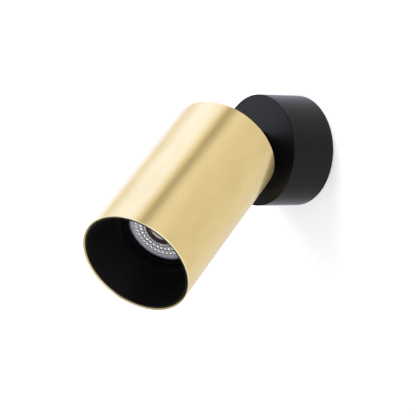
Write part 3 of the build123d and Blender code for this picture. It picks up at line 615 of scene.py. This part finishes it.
def facet_tree(material):
    """Rings of small domes, each ring with its own radius, count and dome size."""
    tree = bpy.data.node_groups.new("facet_rings", "GeometryNodeTree")
    tree.interface.new_socket(name="Geometry", in_out="OUTPUT", socket_type="NodeSocketGeometry")
    tree.interface.new_socket(name="Rise", in_out="INPUT", socket_type="NodeSocketFloat")
    for ring in FACET_RINGS:
        for size in FACET_SIZES:
            kind = "NodeSocketInt" if size == "Count" else "NodeSocketFloat"
            tree.interface.new_socket(name=f"{ring} {size}", in_out="INPUT", socket_type=kind)
    graph = Graph(tree)
    entry = graph.node("NodeGroupInput").socket.node
    join = graph.node("GeometryNodeJoinGeometry")
    ball = {"Segments": FACET_SEGMENTS, "Rings": FACET_STEPS, "Radius": 1.0}
    dome = graph.node("GeometryNodeMeshUVSphere", None, ball)
    rise = Signal(graph, entry.outputs["Rise"])
    for ring in FACET_RINGS:
        sizes = (Signal(graph, entry.outputs[f"{ring} {size}"]) for size in FACET_SIZES)
        radius, count, length, width = sizes
        circle = graph.node("GeometryNodeMeshCircle", None, {"Vertices": count, "Radius": radius})
        place = graph.node("GeometryNodeInputPosition")
        facing = graph.node("FunctionNodeAlignRotationToVector", {"axis": "X"}, {"Vector": place})
        scale = graph.node("ShaderNodeCombineXYZ", None, {0: length, 1: width, 2: rise})
        sockets = {"Points": circle, "Instance": dome, "Rotation": facing, "Scale": scale}
        domes = graph.node("GeometryNodeInstanceOnPoints", None, sockets)
        tree.links.new(domes.socket, join.socket.node.inputs[0])
    real = graph.node("GeometryNodeRealizeInstances", None, {0: join})
    dressed = graph.node("GeometryNodeSetMaterial", None, {"Geometry": real, "Material": material})
    graph.node("NodeGroupOutput", None, {0: dressed})
    return tree


def grown_mesh(name, tree, values):
    """Mesh that a node tree makes, with its inputs set by name."""
    carrier = linked(name, bpy.data.meshes.new(name))
    growth = carrier.modifiers.new("growth", "NODES")
    growth.node_group = tree
    for socket in tree.interface.items_tree:
        if socket.in_out == "INPUT":
            growth[socket.identifier] = values[socket.name]
    return plain_mesh(carrier)


def make_facets():
    """Three rings of facets in the lens's dish."""
    material = lens_facets("lens_facets")
    values = {"Rise": FACET_RISE_MM * MM}
    for ring, sizes in FACET_RINGS.items():
        for size, value in zip(FACET_SIZES, sizes):
            values[f"{ring} {size}"] = value if size == "Count" else value * MM
    mesh = grown_mesh("lens_facets", facet_tree(material), values)
    mesh.transform(HEAD @ Matrix.Translation((0, 0, LENS_SEAT)))
    new_piece("lens_facets", mesh, material, "lamp")


def cable_line(name, points, radius):
    """Round line through the first and last of its points, drawn towards the others."""
    curve = bpy.data.curves.new(name, "CURVE")
    curve.dimensions = "3D"
    curve.bevel_depth = radius
    curve.bevel_resolution = CABLE_ROUNDING
    curve.resolution_u = CABLE_STEPS
    curve.use_fill_caps = True
    spline = curve.splines.new("NURBS")
    spline.points.add(len(points) - 1)
    for point, place in zip(spline.points, points):
        point.co = (*place, 1)
    spline.order_u = 3
    spline.use_endpoint_u = True
    return curve


def make_flex_cable():
    """Cable between the stem's cable and the head's cable, bent through the tilt joint."""
    stem_end = PIVOT + OUTWARD * reach("stem_cable", PIVOT, OUTWARD)[1]
    head_end = PIVOT + HEAD_Z * reach("head_cable", PIVOT, HEAD_Z)[0]
    low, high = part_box("stem_cable")
    radius = (high.x - low.x) / 2
    points = (stem_end - OUTWARD * radius, stem_end, PIVOT, head_end, head_end + HEAD_Z * radius)
    mesh = plain_mesh(linked("flex_cable", cable_line("flex_cable", points, radius)))
    mesh.materials.clear()
    piece = new_piece("flex_cable", mesh, materials["black_sheath"], None)
    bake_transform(piece)


# Studio


def studio_white(name, glow_on_object):
    """White studio surface that keeps shadows and is open from behind."""
    material = bpy.data.materials.new(name)
    material.use_nodes = True
    graph = Graph(material.node_tree)
    graph.tree.nodes.clear()
    camera = graph.node("ShaderNodeLightPath", out="Is Camera Ray")
    strength = glow_on_object + (SEEN_GLOW - glow_on_object) * camera
    glow = graph.node("ShaderNodeEmission", None, {"Strength": strength})
    matt = graph.node("ShaderNodeBsdfDiffuse", None, {"Color": STUDIO_TONE})
    lit = graph.node("ShaderNodeAddShader", None, {0: glow, 1: matt})
    behind = graph.node("ShaderNodeNewGeometry", out="Backfacing")
    clear = graph.node("ShaderNodeBsdfTransparent")
    surface = graph.node("ShaderNodeMixShader", None, {0: behind, 1: lit, 2: clear})
    graph.node("ShaderNodeOutputMaterial", None, {"Surface": surface})
    return material


def stage_sheet(name, corners, material):
    """Flat sheet of the studio, which mirrors don't see."""
    mesh = bpy.data.meshes.new(name)
    mesh.from_pydata(corners, [], [range(len(corners))])
    mesh.materials.append(material)
    sheet = linked(name, mesh)
    sheet.visible_glossy = False


def make_stage():
    w, y, top, low = WALL_HALF_WIDTH, WALL_GAP, WALL_TOP, -FLOOR_DROP
    wall = [(-w, y, low), (w, y, low), (w, y, top), (-w, y, top)]
    stage_sheet("wall", wall, studio_white("wall_white", WALL_GLOW))
    r = FLOOR_REACH
    floor = [(-r, -r, low), (r, -r, low), (r, y, low), (-r, y, low)]
    stage_sheet("floor", floor, studio_white("floor_white", FLOOR_GLOW))


def area_light(name, place, target, size, radiance, mirrored=False):
    """Soft light on the surfaces, or a card that only sheens and mirrors show."""
    light = bpy.data.lights.new(name, "AREA")
    light.shape = "RECTANGLE"
    width, height = size
    light.size, light.size_y = width, height
    light.energy = radiance * pi * width * height
    lamp = linked(name, light)
    lamp.location = place
    lamp.rotation_euler = (Vector(target) - Vector(place)).to_track_quat("-Z", "Y").to_euler()
    lamp.visible_camera = False
    lamp.visible_glossy = mirrored
    lamp.visible_diffuse = not mirrored
    return light


def make_lights():
    for name, settings in SOFTBOXES.items():
        area_light(name, *settings)
    card = area_light("sheen_card", *SHEEN_CARD, mirrored=True)
    card.color = CARD_TONE


def as_share(tone):
    """A tone as a share of the brightest one."""
    return [level / BRIGHTEST_TONE for level in tone]


def mirrored_tone(graph):
    """Tone of the room in mirrors by direction, as a share of the brightest tone."""
    direction = graph.node("ShaderNodeTexCoord", out="Generated")
    x, y, z = (graph.node("ShaderNodeSeparateXYZ", None, {0: direction}, out=axis) for axis in "XYZ")
    room = as_share(ROOM_TONE)
    for light, limits, tone in ROOM_LIGHTS:
        room = graph.shade(graph.fade(graph.along(direction, light), *limits), room, as_share(tone))
    turn = graph.math("ARCTAN2", x, z) * (0.5 / pi) + 0.5
    stops = [(0.5 + degrees / 360, (*as_share(tone), 1)) for degrees, tone in OVERHEAD_TONES]
    overhead = graph.node("ShaderNodeValToRGB", {"stops": stops}, {"Fac": turn})
    far = graph.math("MAXIMUM", graph.fade(x, *FAR_FADE_X), graph.fade(z, *FAR_FADE_Z))
    wall = graph.shade(graph.fade(x, *NEAR_FADE_X), as_share(WALL_TONE), as_share(NEAR_TONE))
    wall = graph.shade(far, wall, as_share(FAR_TONE))
    wall = graph.shade(graph.fade(z, *LOW_FADE_Z), wall, as_share(LOW_TONE))
    behind = y + WALL_LEAN * graph.math("MINIMUM", x, 0.0)
    wall = graph.shade(graph.fade(behind, *WALL_FADE_Y), overhead, wall)
    front = y + ROOM_LEAN * graph.math("MINIMUM", x + ROOM_LEAN_X, 0.0)
    return graph.shade(graph.fade(front, *ROOM_FADE_Y), wall, room)


def make_world():
    """White room for the camera, soft light on the surfaces and, for mirrors, a room drawn by direction."""
    world = bpy.data.worlds.new("studio")
    world.use_nodes = True
    bpy.context.scene.world = world
    graph = Graph(world.node_tree)
    graph.tree.nodes.clear()
    light_path = graph.node("ShaderNodeLightPath").socket.node
    camera, mirror = (Signal(graph, light_path.outputs[ray]) for ray in ("Is Camera Ray", "Is Glossy Ray"))
    strength = ROOM_GLOW + (1 - ROOM_GLOW) * camera
    plain = graph.node("ShaderNodeBackground", None, {"Color": (1, 1, 1, 1), "Strength": strength})
    tone = mirrored_tone(graph)
    mirrored = graph.node("ShaderNodeBackground", None, {"Color": tone, "Strength": BRIGHTEST_TONE})
    surface = graph.node("ShaderNodeMixShader", None, {0: mirror, 1: plain, 2: mirrored})
    graph.node("ShaderNodeOutputWorld", None, {"Surface": surface})


def make_camera():
    canopy_face = Vector((0, -reach("canopy", Vector(), OUTWARD)[1], 0))
    azimuth, elevation, roll = radians(CAMERA_AZIMUTH), radians(CAMERA_ELEVATION), radians(CAMERA_ROLL)
    back = Vector((sin(azimuth) * cos(elevation), -cos(azimuth) * cos(elevation), sin(elevation)))
    level = Vector((cos(azimuth), sin(azimuth), 0))
    plumb = back.cross(level)
    right = level * cos(roll) + plumb * sin(roll)
    up = plumb * cos(roll) - level * sin(roll)
    data = bpy.data.cameras.new("camera")
    data.sensor_width = SENSOR_MM
    data.lens = FOCAL_LENGTH_MM
    data.clip_start = CAMERA_NEAR
    camera = linked("camera", data)
    place = canopy_face + right * VIEW_RIGHT + up * VIEW_UP + back * CAMERA_DISTANCE
    camera.matrix_world = Matrix.Translation(place) @ Matrix((right, up, back)).transposed().to_4x4()
    bpy.context.scene.camera = camera


dress_nodes()
make_lens()
make_facets()
make_flex_cable()
make_stage()
make_lights()
make_world()
make_camera()
bpy.context.scene.view_settings.view_transform = "Standard"
